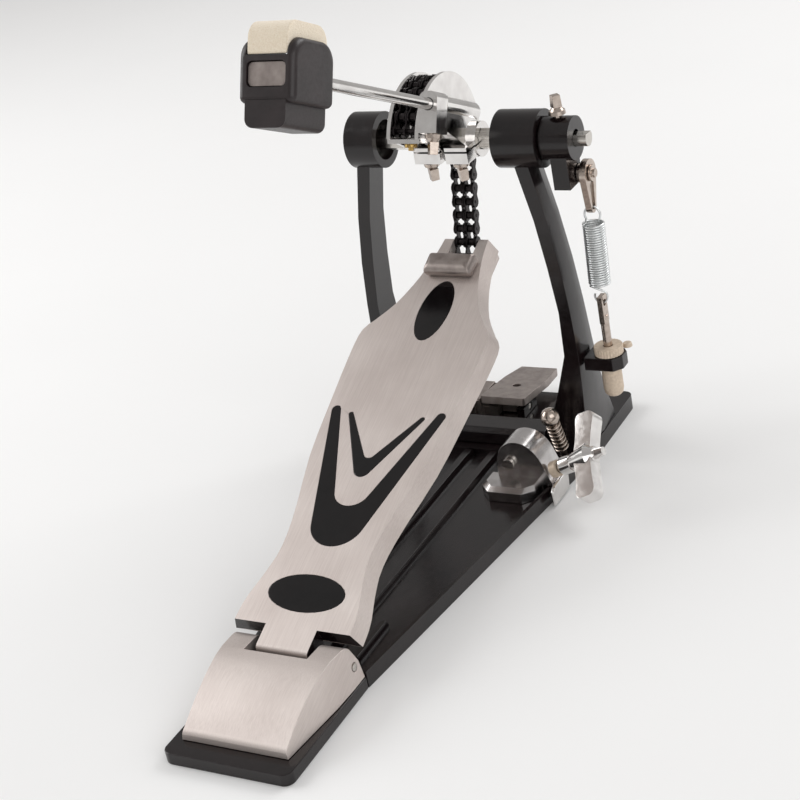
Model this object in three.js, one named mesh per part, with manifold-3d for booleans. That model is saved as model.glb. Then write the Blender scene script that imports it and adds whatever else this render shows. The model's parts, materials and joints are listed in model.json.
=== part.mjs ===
// Bass drum pedal with a side hoop clamp, a duplex chain drive and a one-felt beater.
// Millimetres. +X is the spring side, +Y points at the drum, +Z is up.
// The origin is on the floor, on the centre plane, straight below the rocker shaft.
import * as THREE from "three";
import { mergeVertices } from "three/addons/utils/BufferGeometryUtils.js";
import Module from "manifold-3d";

const wasm = await Module();
wasm.setup();

// ---- Driving dimensions ----
const GAP = 0.3;
const AXLE_Z = 188;
const BOARD_TILT = THREE.MathUtils.degToRad(22.4);
const HINGE = { y: -229, z: 15 };
const HALF_WIDTH = 62.8;
const HEEL_HALF_WIDTH = 34.5;
const DRUM_END = 59.4;
const FLARE_END = -2;
const HEEL_JOINT = -224;
const HEEL_END = -298.3;
const HEEL_SLAB = 6.4;
const PLATE_TOP = 9;
const PLATE_FLOOR = 5.5;
const BOARD = { heel: 8.5, toe: 260.8, top: 14, thick: 9, edge: 3.4 };
const SHAFT_FLATS = 10.3;
const HUB = { r: 15.2, inner: 34.6, leftEnd: 52.3, rightEnd: 59.2, bore: 10.8 };
const CAM = { y: -8.5, z: 2.5, r: 35.5, floor: 27.3, plateIn: 7.1, plateOut: 9.2 };
const CAM_END = THREE.MathUtils.degToRad(162);
const CHAIN = { pitch: 7.4, r: 31, half: 6.6, height: 3.3, plate: 0.9, start: -13.98 };
const LINKS = { onCam: 12, peeling: 5, free: 9 };
const TOE_PIN = { y: 256, z: 6 };
const ROD = { r: 3, x: 16.4, rise: THREE.MathUtils.degToRad(25.1), offset: 13.7, start: 12, end: 190 };
const HEAD = { start: 162, end: 196, half: 14.3, low: 0.5, high: 29 };
const SPRING = { x: 78, pinY: 5, pinZ: 167, anchorZ: 96.5 };
const COIL = { r: 5.4, wire: 1.1, turns: 12, top: -27.2, bottom: -61, hook: 5.6 };
const EYE_ROD = { r: 2.4, bottom: 45.4, top: 88, eye: 95.6 };
const NUT = { r: 8, z: 65.6, h: 4.6 };
const WING = { x: 55.9, y: -47, z: 17, rise: THREE.MathUtils.degToRad(25), reach: 25, root: 19, tip: 32.6 };
const WING_TURNED = THREE.MathUtils.degToRad(53);
const SPUR = { x: 49, y: -14, lean: THREE.MathUtils.degToRad(20), shaft: 2.6, ball: 5.4, length: 27 };
const JAW_PIN = { y: 28, z: 12.8 };

// ---- Materials ----
function finish(color, roughness, metalness) {
  return new THREE.MeshStandardMaterial({ color, roughness, metalness });
}

const blackPaint = finish(0x17161a, 0.25, 0.2);
const brushedAluminium = finish(0xc4bcb8, 0.42, 1);
const chrome = finish(0xd8d6d4, 0.12, 1);
const steel = finish(0xb9b5b0, 0.3, 1);
const nickel = finish(0xb7a79c, 0.3, 1);
const gunmetal = finish(0x6f6a68, 0.45, 0.9);
const chainBlack = finish(0x1d1b1c, 0.35, 0.8);
const tanMetal = finish(0xb8a592, 0.5, 0.7);
const brass = finish(0xb59a66, 0.35, 1);
const moulded = finish(0x322d2e, 0.55, 0);
const inlayBlack = finish(0x120f10, 0.15, 0);
const felt = finish(0xe9dac6, 0.95, 0);

// ---- Solids: every shape is a three.js geometry, and manifold-3d joins or cuts them ----
function toSolid(geometry) {
  const bare = geometry.clone();
  bare.deleteAttribute("normal");
  bare.deleteAttribute("uv");
  const merged = mergeVertices(bare, 1e-4);
  const vertProperties = new Float32Array(merged.attributes.position.array);
  const triVerts = new Uint32Array(merged.index.array);
  return new wasm.Manifold(new wasm.Mesh({ numProp: 3, vertProperties, triVerts }));
}

function toGeometry(solid) {
  const mesh = solid.getMesh();
  const geometry = new THREE.BufferGeometry();
  geometry.setAttribute("position", new THREE.BufferAttribute(new Float32Array(mesh.vertProperties), 3));
  geometry.setIndex(new THREE.BufferAttribute(new Uint32Array(mesh.triVerts), 1));
  geometry.computeVertexNormals();
  return geometry;
}

const join = (...parts) => toGeometry(parts.map(toSolid).reduce((all, part) => all.add(part)));
const cut = (body, ...tools) =>
  toGeometry(tools.map(toSolid).reduce((rest, tool) => rest.subtract(tool), toSolid(body)));
const common = (a, b) => toGeometry(toSolid(a).intersect(toSolid(b)));

function box([x0, x1], [y0, y1], [z0, z1]) {
  const block = new THREE.BoxGeometry(x1 - x0, y1 - y0, z1 - z0);
  return block.translate((x0 + x1) / 2, (y0 + y1) / 2, (z0 + z1) / 2);
}

// A round bar along an axis, from one end to the other, at a place given across the axis.
function bar(axis, r, [from, to], { x = 0, y = 0, z = 0, sides = 20, endR = r } = {}) {
  const turned = new THREE.CylinderGeometry(endR, r, to - from, sides).translate(0, (from + to) / 2, 0);
  if (axis === "x") {
    turned.rotateZ(-Math.PI / 2);
  }
  if (axis === "z") {
    turned.rotateX(Math.PI / 2);
  }
  return turned.translate(x, y, z);
}

function slabOf(outline, depth, curveSegments = 12) {
  const points = (list) => list.map(([a, b]) => new THREE.Vector2(a, b));
  const shape = Array.isArray(outline) ? new THREE.Shape(points(outline)) : outline;
  return new THREE.ExtrudeGeometry(shape, { depth, bevelEnabled: false, curveSegments });
}

// A flat outline in the Y-Z plane, given real width along X.
function sidePlate(outline, [x0, x1], curveSegments) {
  const slab = slabOf(outline, x1 - x0, curveSegments);
  return slab.applyMatrix4(new THREE.Matrix4().set(0, 0, 1, x0, 1, 0, 0, 0, 0, 1, 0, 0, 0, 0, 0, 1));
}

// A flat outline in the X-Z plane, given real depth along Y.
function frontPlate(outline, [y0, y1], curveSegments) {
  return slabOf(outline, y1 - y0, curveSegments).rotateX(Math.PI / 2).translate(0, y1, 0);
}

// A flat outline in the X-Y plane, given real height along Z.
function floorPlate(outline, [z0, z1], curveSegments) {
  return slabOf(outline, z1 - z0, curveSegments).translate(0, 0, z0);
}

// A block standing on Z whose four upright corners have radius r.
function roundedBlock([x0, x1], [y0, y1], height, r) {
  const shape = new THREE.Shape();
  shape.absarc(x1 - r, y0 + r, r, -Math.PI / 2, 0);
  shape.absarc(x1 - r, y1 - r, r, 0, Math.PI / 2);
  shape.absarc(x0 + r, y1 - r, r, Math.PI / 2, Math.PI);
  shape.absarc(x0 + r, y0 + r, r, Math.PI, Math.PI * 1.5);
  return floorPlate(shape, height, 5);
}

// A closed body through rings of points that all have the same count, first ring at the bottom.
function loft(rings) {
  const count = rings[0].length;
  const positions = rings.flat().flatMap((point) => [point.x, point.y, point.z]);
  const index = [];
  for (let level = 0; level < rings.length - 1; level += 1) {
    for (let i = 0; i < count; i += 1) {
      const a = level * count + i;
      const b = level * count + ((i + 1) % count);
      index.push(a, b, b + count, a, b + count, a + count);
    }
  }
  const flat = (ring) => ring.map((point) => new THREE.Vector2(point.x, point.y));
  const cap = (ring) => THREE.ShapeUtils.triangulateShape(flat(ring), []);
  const last = (rings.length - 1) * count;
  cap(rings[0]).forEach(([a, b, c]) => index.push(a, c, b));
  cap(rings[rings.length - 1]).forEach(([a, b, c]) => index.push(last + a, last + b, last + c));
  const geometry = new THREE.BufferGeometry();
  geometry.setAttribute("position", new THREE.BufferAttribute(new Float32Array(positions), 3));
  geometry.setIndex(index);
  geometry.computeVertexNormals();
  return geometry;
}

// A slab with sloping sides: the outline's half width shrinks by `inset` from z0 to z1.
function draftedSlab(halfOutline, z0, z1, inset) {
  const right = halfOutline;
  const left = [...halfOutline].reverse().map((point) => new THREE.Vector2(-point.x, point.y));
  const ring = (z, shrink) =>
    [...right, ...left].map((point) => new THREE.Vector3(point.x - Math.sign(point.x) * shrink, point.y, z));
  return loft([ring(z0, 0), ring(z1, inset)]);
}

// A wire coil along +Z from z = 0, with its two ends brought back to the axis when it has hooks.
function helix(r, wire, turns, height, hook = 0) {
  const perTurn = 8;
  const coil = Array.from({ length: turns * perTurn + 1 }, (_, i) => {
    const angle = (i / perTurn) * Math.PI * 2;
    return new THREE.Vector3(r * Math.cos(angle), r * Math.sin(angle), (height * i) / (turns * perTurn));
  });
  const tail = (z0, z1) => (hook > 0 ? [new THREE.Vector3(0, 0, z0), new THREE.Vector3(0, 0, z1)] : []);
  const points = [...tail(-hook, -hook * 0.4), ...coil, ...tail(height + hook * 0.4, height + hook)];
  const section = new THREE.Shape();
  section.absarc(0, 0, wire, 0, Math.PI * 2);
  const extrudePath = new THREE.CatmullRomCurve3(points);
  const steps = points.length - 1;
  return new THREE.ExtrudeGeometry(section, { steps, extrudePath, bevelEnabled: false, curveSegments: 2 });
}

// ---- Groups: each moving part of the pedal is built in its own frame ----
const pedal = new THREE.Group();

function group(parent, { x = 0, y = 0, z = 0, turn = 0 } = {}) {
  const child = new THREE.Group();
  child.position.set(x, y, z);
  child.rotation.x = turn;
  parent.add(child);
  return child;
}

function put(parent, name, geometry, material) {
  const mesh = new THREE.Mesh(geometry, material);
  mesh.name = name;
  parent.add(mesh);
  return mesh;
}

// ---- Base: heel slab and flared, ribbed main plate ----
function baseParts() {
  const heel = new THREE.Shape();
  const corner = 5;
  heel.moveTo(HEEL_HALF_WIDTH, HEEL_JOINT - GAP);
  heel.lineTo(-HEEL_HALF_WIDTH, HEEL_JOINT - GAP);
  heel.lineTo(-HEEL_HALF_WIDTH, HEEL_END + corner);
  heel.absarc(-HEEL_HALF_WIDTH + corner, HEEL_END + corner, corner, Math.PI, Math.PI * 1.5);
  heel.absarc(HEEL_HALF_WIDTH - corner, HEEL_END + corner, corner, Math.PI * 1.5, Math.PI * 2);
  put(pedal, "heel_base", floorPlate(heel, [0, HEEL_SLAB], 5), blackPaint);

  const outline = (inset, from, to, round) => {
    const widthAt = (y) => {
      const part = Math.min(Math.max((y - HEEL_JOINT) / (FLARE_END - HEEL_JOINT), 0), 1);
      return HEEL_HALF_WIDTH + (HALF_WIDTH - HEEL_HALF_WIDTH) * part - inset;
    };
    const shape = new THREE.Shape();
    shape.moveTo(-widthAt(from), from);
    shape.lineTo(widthAt(from), from);
    if (to > FLARE_END) {
      shape.lineTo(widthAt(FLARE_END), FLARE_END);
    }
    shape.absarc(widthAt(to) - round, to - round, round, 0, Math.PI / 2);
    shape.absarc(-widthAt(to) + round, to - round, round, Math.PI / 2, Math.PI);
    if (to > FLARE_END) {
      shape.lineTo(-widthAt(FLARE_END), FLARE_END);
    }
    return shape;
  };
  const slab = floorPlate(outline(0, HEEL_JOINT, DRUM_END, 5), [0, PLATE_TOP], 4);
  const tray = floorPlate(outline(2.6, HEEL_JOINT + 3, -18, 3), [PLATE_FLOOR, PLATE_TOP + 5], 3);
  const hoopSeat = box([-20, 20], [41, DRUM_END + 5], [5, 20]);
  const spurHoles = [1, -1].map((side) => {
    const hole = bar("z", SPUR.shaft + GAP, [-30, 30], { sides: 12 });
    return hole.rotateX(SPUR.lean).translate(side * SPUR.x, SPUR.y, PLATE_TOP);
  });
  // Each rib runs along the plate and is narrower at its top.
  const rib = (x, half, span) => {
    const foot = [[x - half, PLATE_FLOOR - 1], [x + half, PLATE_FLOOR - 1]];
    const crown = [[x + half, 7], [x + half - 1.2, PLATE_TOP], [x - half + 1.2, PLATE_TOP], [x - half, 7]];
    return frontPlate([...foot, ...crown], span);
  };
  const longRibs = [8, -8].map((x) => rib(x, 3.2, [-206, -19]));
  const shortRibs = [23, -23].map((x) => rib(x, 2.6, [-214, -184]));
  const plate = cut(slab, tray, hoopSeat, ...spurHoles);
  put(pedal, "base_plate", join(plate, ...longRibs, ...shortRibs), blackPaint);
}

// ---- Heel plate, a domed casting with a slot for the footboard's tab, and its hinge pin ----
function heelPlateParts() {
  const dome = new THREE.Shape();
  dome.moveTo(-288, HEEL_SLAB + GAP);
  dome.lineTo(-287.8, 9.6);
  dome.quadraticCurveTo(-287.2, 11.2, -285, 12);
  dome.quadraticCurveTo(-262, 26.5, -243, 27.6);
  dome.lineTo(-233, 27);
  dome.quadraticCurveTo(-229.5, 26.6, -227.8, 24);
  dome.lineTo(-224.6, 16);
  dome.lineTo(-224.6, HEEL_SLAB + GAP);
  const body = sidePlate(dome, [-36, 36], 8);
  const plan = [[28.8, -290], [33.4, -250], [34.2, -235], [34.2, -222]];
  const sides = draftedSlab(plan.map(([x, y]) => new THREE.Vector2(x, y)), 5, 30, 4.5);
  const slot = box([-17.5, 17.5], [-243.2, -220], [0, 40]);
  const pinHole = bar("x", 2.3, [-40, 40], { y: HINGE.y, z: HINGE.z, sides: 16 });
  put(pedal, "heel_plate", cut(common(body, sides), slot, pinHole), brushedAluminium);
  put(pedal, "hinge_pin", bar("x", 2, [-32.6, 32.6], { y: HINGE.y, z: HINGE.z, sides: 16 }), steel);
}

// ---- Footboard, in its own frame: origin on the hinge pin, +Y along the board, +Z out of its face ----
function footboardParts() {
  const board = group(pedal, { y: HINGE.y, z: HINGE.z, turn: BOARD_TILT });
  const waist = new THREE.SplineCurve(
    [
      [35.4, 0], [34.6, 12], [30.6, 28], [28.3, 43], [30.2, 64], [36.8, 100], [39.6, 135], [41.6, 168],
      [41, 184], [35, 193], [27.6, 205], [21.6, 222], [18, 239], [16.6, 252.3],
    ].map(([x, y]) => new THREE.Vector2(x, y + BOARD.heel)),
  );
  const slab = draftedSlab(waist.getPoints(34), BOARD.top - BOARD.thick, BOARD.top, BOARD.edge);

  const tab = new THREE.Shape();
  tab.moveTo(16, BOARD.top);
  tab.lineTo(-2.5, BOARD.top);
  tab.quadraticCurveTo(-5.4, BOARD.top, -5.6, 10.5);
  tab.lineTo(-5, 0);
  tab.absarc(0, 0, 5, Math.PI, Math.PI * 2);
  tab.lineTo(8.5, 6);
  tab.lineTo(16, 6);
  const tabBlock = sidePlate(tab, [-14.2, 14.2], 6);
  const pinHole = bar("x", 2.3, [-20, 20], { sides: 16 });
  const fork = box([-7.6, 7.6], [246, 300], [-10, 40]);
  const toePads = join(...[12.7, -12.7].map((x) => box([x - 2.6, x + 2.6], [240, 260.6], [-0.5, 8])));

  const at = (s) => s + BOARD.heel;
  const ovals = [
    { name: "inlay_oval_toe", y: at(200), rx: 9, ry: 21 },
    { name: "inlay_oval_heel", y: at(19), rx: 21, ry: 10.5 },
  ];
  const oval = ({ y, rx, ry }, grow) => {
    const shape = new THREE.Shape();
    shape.absellipse(0, y, rx + grow, ry + grow, 0, Math.PI * 2);
    return shape;
  };
  // Two nested V marks: straight arms, round tips and a round foot.
  const marks = [
    {
      name: "inlay_v_large", tipX: 30.6, tipY: at(129.6), tip: 2.4,
      footY: at(61.5), foot: 14.8, hollowY: at(81), hollow: 10.2,
    },
    {
      name: "inlay_v_small", tipX: 20.8, tipY: at(127.4), tip: 1.2,
      footY: at(93.6), foot: 4.6, hollowY: at(104), hollow: 3.4,
    },
  ];
  const vMark = (m, grow) => {
    const tangent = (r0, y0, r1) => {
      const dx = m.tipX;
      const dy = m.tipY - y0;
      return Math.atan2(dy, dx) - Math.acos((r0 - r1) / Math.hypot(dx, dy));
    };
    const outer = tangent(m.foot + grow, m.footY, m.tip + grow);
    const inner = tangent(m.hollow - grow, m.hollowY, -m.tip - grow);
    const shape = new THREE.Shape();
    shape.absarc(0, m.footY, m.foot + grow, Math.PI - outer, Math.PI * 2 + outer);
    shape.absarc(m.tipX, m.tipY, m.tip + grow, outer, Math.PI + inner);
    shape.absarc(0, m.hollowY, m.hollow - grow, inner, Math.PI - inner, true);
    shape.absarc(-m.tipX, m.tipY, m.tip + grow, -inner, Math.PI - outer);
    return shape;
  };
  const pocketDepth = 1;
  const pocketShapes = [...ovals.map((o) => oval(o, 0.25)), ...marks.map((m) => vMark(m, 0.25))];
  const pocket = [BOARD.top - pocketDepth, BOARD.top + 5];
  const pockets = pocketShapes.map((shape) => floorPlate(shape, pocket, 14));
  const body = cut(join(slab, tabBlock, toePads), pinHole, fork, ...pockets);
  put(board, "footboard", body, brushedAluminium);
  const inlay = [BOARD.top - pocketDepth + GAP, BOARD.top];
  ovals.forEach((o) => put(board, o.name, floorPlate(oval(o, 0), inlay, 14), inlayBlack));
  marks.forEach((m) => put(board, m.name, floorPlate(vMark(m, 0), inlay, 14), inlayBlack));

  // The toe stop, from its foot up: height, near half width, near end, far half width, far end.
  const stopLevels = [
    [0, 13.5, -5.4, 14, 6],
    [4.6, 13.8, -7.2, 14, 6],
    [7, 13.2, -6, 13.4, 5.6],
    [8.2, 11.2, -3.4, 12, 4],
  ];
  const stopRings = stopLevels.map(([z, nearHalf, near, farHalf, far]) => {
    const ring = [[-nearHalf, near], [nearHalf, near], [farHalf, far], [-farHalf, far]];
    return ring.map(([x, y]) => new THREE.Vector3(x, y + 238, BOARD.top + GAP + z));
  });
  put(board, "toe_stop", loft(stopRings), gunmetal);
}

// ---- Frame: two curved uprights, each with a bearing housing, and a cross member ----
function frameParts() {
  // Height, inner edge, outer edge, heel-side face, drum-side face.
  const levels = [
    [9.3, 38, 62.6, -8, 34],
    [24, 41, 63.4, -8, 27],
    [42, 47.5, 64.4, -8, 19],
    [66, 55, 65, -8, 13],
    [92, 55.6, 64, -8, 11],
    [118, 53, 62, -8, 9.5],
    [145, 49.4, 58.4, -8, 8.5],
    [178, 42.6, 52, -8, 8],
  ];
  const upright = (side) => {
    const rings = levels.map(([z, inner, outer, near, far]) => {
      const mid = (near + far) / 2;
      const ring = [[inner, near], [outer - 1.6, near], [outer, mid], [outer - 1.6, far], [inner, far]];
      const placed = ring.map(([x, y]) => new THREE.Vector3(side * x, y, z));
      return side > 0 ? placed : placed.reverse();
    });
    return loft(rings);
  };
  const sides = [
    { name: "upright_left", side: -1, outer: HUB.leftEnd },
    { name: "upright_right", side: 1, outer: HUB.rightEnd },
  ];
  sides.forEach(({ name, side, outer }) => {
    const span = [HUB.inner, outer].map((x) => side * x).sort((a, b) => a - b);
    const housing = bar("x", HUB.r, span, { z: AXLE_Z, sides: 48 });
    const pocketEnd = [HUB.inner - 5, outer - 4].map((x) => side * x).sort((a, b) => a - b);
    const bore = bar("x", HUB.bore, pocketEnd, { z: AXLE_Z, sides: 28 });
    const through = bar("x", 6.4, [-70, 70], { z: AXLE_Z, sides: 20 });
    put(pedal, name, cut(join(upright(side), housing), bore, through), blackPaint);
    const race = [outer - 4 - GAP - 6, outer - 4 - GAP].map((x) => side * x).sort((a, b) => a - b);
    const ring = cut(
      bar("x", HUB.bore - GAP, race, { z: AXLE_Z, sides: 24 }),
      bar("x", 6.4, [-70, 70], { z: AXLE_Z, sides: 20 }),
    );
    put(pedal, name.replace("upright", "bearing"), ring, steel);
  });
  const profile = [[-12, 9.3], [8, 9.3], [8, 14.5], [4, 18.6], [-9.5, 18.6], [-12, 16.4]];
  put(pedal, "cross_member", sidePlate(profile, [-37, 37]), blackPaint);
}

// ---- Rocker: hex shaft, chain cam, beater holder and their clamp screws. Origin on the shaft's axis ----
function clampScrew(parent, name, { x, y, z, turn = 0 }) {
  const flange = bar("z", 4.2, [-5.4, -3.4], { sides: 12, endR: 4.6 });
  const shank = bar("z", 2.1, [-3.6, 0], { sides: 8 });
  const neck = bar("z", 2.2, [-7.4, -5.3], { sides: 12, endR: 3.9 });
  const square = bar("z", 2.9, [-13.4, -7.2], { sides: 4, endR: 3.3 });
  const screw = put(parent, name, join(shank, flange, neck, square), nickel);
  screw.position.set(x, y, z);
  screw.rotation.x = turn;
}

function hexBore(x0, x1) {
  return bar("x", SHAFT_FLATS / Math.sqrt(3) + GAP, [x0, x1], { sides: 6 });
}

function rockerParts(rocker) {
  const hex = bar("x", SHAFT_FLATS / Math.sqrt(3), [-50, 60], { sides: 6 });
  const leftEnd = bar("x", 3.4, [-53.6, -49], { sides: 16 });
  const stub = cut(bar("x", 4.3, [59, 83.5], { sides: 20 }), box([61, 90], [-9, 9], [2.6, 9]));
  put(rocker, "rocker_shaft", join(hex, leftEnd, stub), steel);
  put(rocker, "shaft_end_screw", join(
    bar("x", 4.4, [-55.4, -53.9], { sides: 18 }),
    bar("x", 3.2, [-57.4, -55.2], { sides: 6 }),
  ), steel);

  const cheek = new THREE.Shape();
  cheek.absarc(CAM.y, CAM.z, CAM.r, THREE.MathUtils.degToRad(-24), THREE.MathUtils.degToRad(158));
  cheek.lineTo(-18, 0);
  cheek.lineTo(-9, -10);
  cheek.lineTo(6, -10);
  const windowCut = bar("x", 8.4, [-20, 20], { y: -9.5, z: 19, sides: 24 });
  const cheeks = [1, -1].map((side) => {
    const span = [CAM.plateIn, CAM.plateOut].map((x) => side * x).sort((a, b) => a - b);
    return sidePlate(cheek, span, 26);
  });
  const [trackStart, trackEnd] = [-24, 156].map(THREE.MathUtils.degToRad);
  const track = new THREE.Shape();
  track.absarc(CAM.y, CAM.z, CAM.floor, trackStart, trackEnd);
  track.absarc(CAM.y, CAM.z, CAM.floor - 3, trackEnd, trackStart, true);
  const floorRing = sidePlate(track, [-CAM.plateIn - 0.5, CAM.plateIn + 0.5], 18);
  const endWall = box([-CAM.plateOut, CAM.plateOut], [CAM.floor - 3, CAM.r - 1], [-2.2, 0]);
  endWall.rotateX(CAM_END).translate(0, CAM.y, CAM.z);
  const hub = bar("x", 9.8, [-10.6, CAM.plateOut], { sides: 28 });
  const lug = box([-8.2, 7.2], [-19, -6], [-6.8, 2]);
  const lugSlit = box([-20, 20], [-22, -5.2], [-1, 0]);
  const screwHole = bar("z", 2.4, [-20, -3], { x: -1, y: -14, sides: 12 });
  const camBody = join(...cheeks, floorRing, endWall, hub, lug);
  put(rocker, "chain_cam", cut(camBody, windowCut, hexBore(-20, 20), lugSlit, screwHole), chrome);
  clampScrew(rocker, "cam_clamp_screw", { x: -1, y: -14, z: -3.9 });
  const anchorHead = bar("z", 3.4, [GAP, 2.2], { x: 2, y: 30, sides: 14 });
  const anchorPoint = bar("z", 1.5, [2, 3.8], { x: 2, y: 30, sides: 10 });
  const anchor = put(rocker, "chain_anchor_screw", join(anchorHead, anchorPoint), brass);
  anchor.position.set(0, CAM.y, CAM.z);
  anchor.rotation.x = CAM_END;

  const rodTurn = Math.PI / 2 - ROD.rise;
  const holder = group(rocker, { turn: rodTurn });
  const front = 48.5;
  const blockShape = new THREE.Shape();
  blockShape.moveTo(ROD.x - 5.2, -0.8);
  blockShape.lineTo(ROD.x + 5.2, -0.8);
  blockShape.absarc(ROD.x + 1.2, 16.2, 4, 0, Math.PI / 2);
  blockShape.absarc(ROD.x - 1.2, 16.2, 4, Math.PI / 2, Math.PI);
  const block = floorPlate(blockShape, [front - 12, front], 10);
  const barrel = bar("z", 5.5, [0, front - 11], { x: ROD.x, y: ROD.offset, sides: 20 });
  const webSide = [[-8, 0], [9, 0], [17.6, front - 11], [1.4, front - 11]];
  const web = sidePlate(webSide, [ROD.x - 4.4, ROD.x + 4.4]);
  const holderHub = bar("x", 9.4, [CAM.plateOut + GAP, 23.6], { sides: 28 });
  const holderLug = box([CAM.plateOut + 1, 23], [-19, -6], [-6.8, 2]).rotateX(-rodTurn);
  const holderSlit = box([5, 30], [-22, -5.2], [-1, 0]).rotateX(-rodTurn);
  const lugHole = bar("z", 2.4, [-20, -3], { x: ROD.x, y: -14, sides: 12 }).rotateX(-rodTurn);
  const rodHole = bar("z", ROD.r + GAP, [-20, front + 5], { x: ROD.x, y: ROD.offset, sides: 16 });
  const setHole = bar("y", 2.4, [-5, 6], { x: ROD.x, z: front - 7, sides: 12 });
  const holderBody = join(block, barrel, web, holderHub, holderLug);
  const holes = [hexBore(0, 40), holderSlit, lugHole, rodHole, setHole];
  put(holder, "beater_holder", cut(holderBody, ...holes), chrome);
  clampScrew(rocker, "holder_clamp_screw", { x: ROD.x, y: -14, z: -3.9 });
  clampScrew(holder, "beater_set_screw", { x: ROD.x, y: 2.3, z: front - 7, turn: -Math.PI / 2 });
  return holder;
}

// ---- Beater, in the holder's frame: local +Z runs out along the rod and +Y is the striking side ----
function beaterParts(holder) {
  const onRod = { x: ROD.x, y: ROD.offset, sides: 16 };
  put(holder, "beater_rod", bar("z", ROD.r, [ROD.start, ROD.end], onRod), chrome);
  const { start, end, half, low, high } = HEAD;
  const shell = new THREE.Shape();
  shell.absarc(high - 9, start + 9, 9, -Math.PI / 2, 0);
  shell.absarc(high - 9, end - 9, 9, 0, Math.PI / 2);
  shell.absarc(low + 3, end - 3, 3, Math.PI / 2, Math.PI);
  shell.absarc(low + 3, start + 3, 3, Math.PI, Math.PI * 1.5);
  const body = sidePlate(shell, [ROD.x - half, ROD.x + half], 6);
  const round = 4;
  const footShape = new THREE.Shape();
  footShape.absarc(10.4 - round, -10 + round, round, -Math.PI / 2, 0);
  footShape.lineTo(10.4, 2);
  footShape.lineTo(-10.4, 2);
  footShape.absarc(-10.4 + round, -10 + round, round, Math.PI, Math.PI * 1.5);
  const foot = floorPlate(footShape, [start + 1.4, end], 4).translate(ROD.x, 0, 0);
  const feltSeat = box([ROD.x - 10.6, ROD.x + 10.6], [21, 40], [start - 5, end + 5]);
  const rodHole = bar("z", ROD.r + GAP, [start - 5, ROD.end + 0.6], onRod);
  const windowCut = roundedBlock([ROD.x - 10, ROD.x + 10], [7.4, 18.6], [end - 2.2, end + 4], 2.6);
  const head = cut(join(body, foot), feltSeat, rodHole, windowCut);
  put(holder, "beater_head", head, moulded);
  const badge = roundedBlock([ROD.x - 9.6, ROD.x + 9.6], [7.8, 18.2], [end - 1.9, end - 1], 2.3);
  put(holder, "beater_badge", badge, gunmetal);
  const padTop = 36.4;
  const shoulder = 8;
  const padShape = new THREE.Shape();
  padShape.moveTo(21 + GAP, start + 0.6);
  padShape.absarc(padTop - shoulder, start + 0.6 + shoulder, shoulder, -Math.PI / 2, 0);
  padShape.absarc(padTop - shoulder, end - 0.6 - shoulder, shoulder, 0, Math.PI / 2);
  padShape.lineTo(21 + GAP, end - 0.6);
  const pad = sidePlate(padShape, [ROD.x - 10.2, ROD.x + 10.2], 9);
  put(holder, "beater_felt", pad, felt);
}

// ---- Chain: dog-bone links on pins, side by side in two strands ----
function linkPlate(span) {
  const { pitch, height } = CHAIN;
  const shape = new THREE.Shape();
  shape.absarc(0, 0, height, Math.PI / 2, Math.PI * 1.5);
  shape.absarc(pitch, 0, height, -Math.PI / 2, Math.PI / 2);
  return sidePlate(shape, span, 2);
}

function outerLink() {
  const { pitch, half, plate } = CHAIN;
  const plates = [[-half, -half + plate], [half - plate, half]].map(linkPlate);
  const pins = [0, pitch].map((y) => bar("x", 1.2, [-half + 0.2, half - 0.2], { y, sides: 6 }));
  return join(...plates, ...pins);
}

function innerLink(holes) {
  const { pitch, half, plate } = CHAIN;
  const reach = half - plate - GAP;
  const strands = [[-reach, -0.6], [0.6, reach]].map(linkPlate);
  const bridge = box([-1, 1], [pitch / 2 - 1.2, pitch / 2 + 1.2], [-1.6, 1.6]);
  const body = join(...strands, bridge);
  return holes.length ? cut(body, ...holes.map((y) => bar("x", 1.5, [-9, 9], { y, sides: 6 }))) : body;
}

// A link's own frame starts on its first pin and its +Y runs to the next one.
function linkMatrix(from, to) {
  const angle = Math.atan2(to.z - from.z, to.y - from.y);
  return new THREE.Matrix4().makeRotationX(angle).setPosition(0, from.y, from.z);
}

function chainParts(rocker) {
  const { r, start, pitch } = CHAIN;
  const { onCam, peeling, free } = LINKS;
  const step = 2 * Math.asin(pitch / 2 / r);
  const pins = Array.from({ length: onCam + 1 }, (_, i) => {
    const angle = THREE.MathUtils.degToRad(start) + i * step;
    return { y: CAM.y + r * Math.cos(angle), z: CAM.z + r * Math.sin(angle) };
  });
  // The links that unwind from the cam are odd outer links and even inner links.
  for (let i = 1; i <= peeling; i += 1) {
    const shape = i % 2 === 1 ? innerLink([0, pitch]) : outerLink();
    const link = put(rocker, `chain_link_${i}`, shape, chainBlack);
    link.applyMatrix4(linkMatrix(pins[i], pins[i - 1]));
  }
  const wrapped = [];
  for (let i = peeling; i < onCam; i += 1) {
    const shape = i % 2 === 1 ? outerLink() : innerLink([]);
    wrapped.push(shape.applyMatrix4(linkMatrix(pins[i], pins[i + 1])));
  }
  put(rocker, "chain_wrapped", join(...wrapped), chainBlack);

  const toe = new THREE.Vector3(0, TOE_PIN.y, TOE_PIN.z);
  toe.applyAxisAngle(new THREE.Vector3(1, 0, 0), BOARD_TILT);
  const end = { y: HINGE.y + toe.y, z: HINGE.z + toe.z - AXLE_Z };
  const run = [];
  for (let i = 0; i < free; i += 1) {
    const shape = i % 2 === 0 ? outerLink() : innerLink([]);
    run.push(shape.translate(0, i * pitch, 0));
  }
  put(rocker, "chain_free", join(...run), chainBlack).applyMatrix4(linkMatrix(pins[0], end));
}

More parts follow.
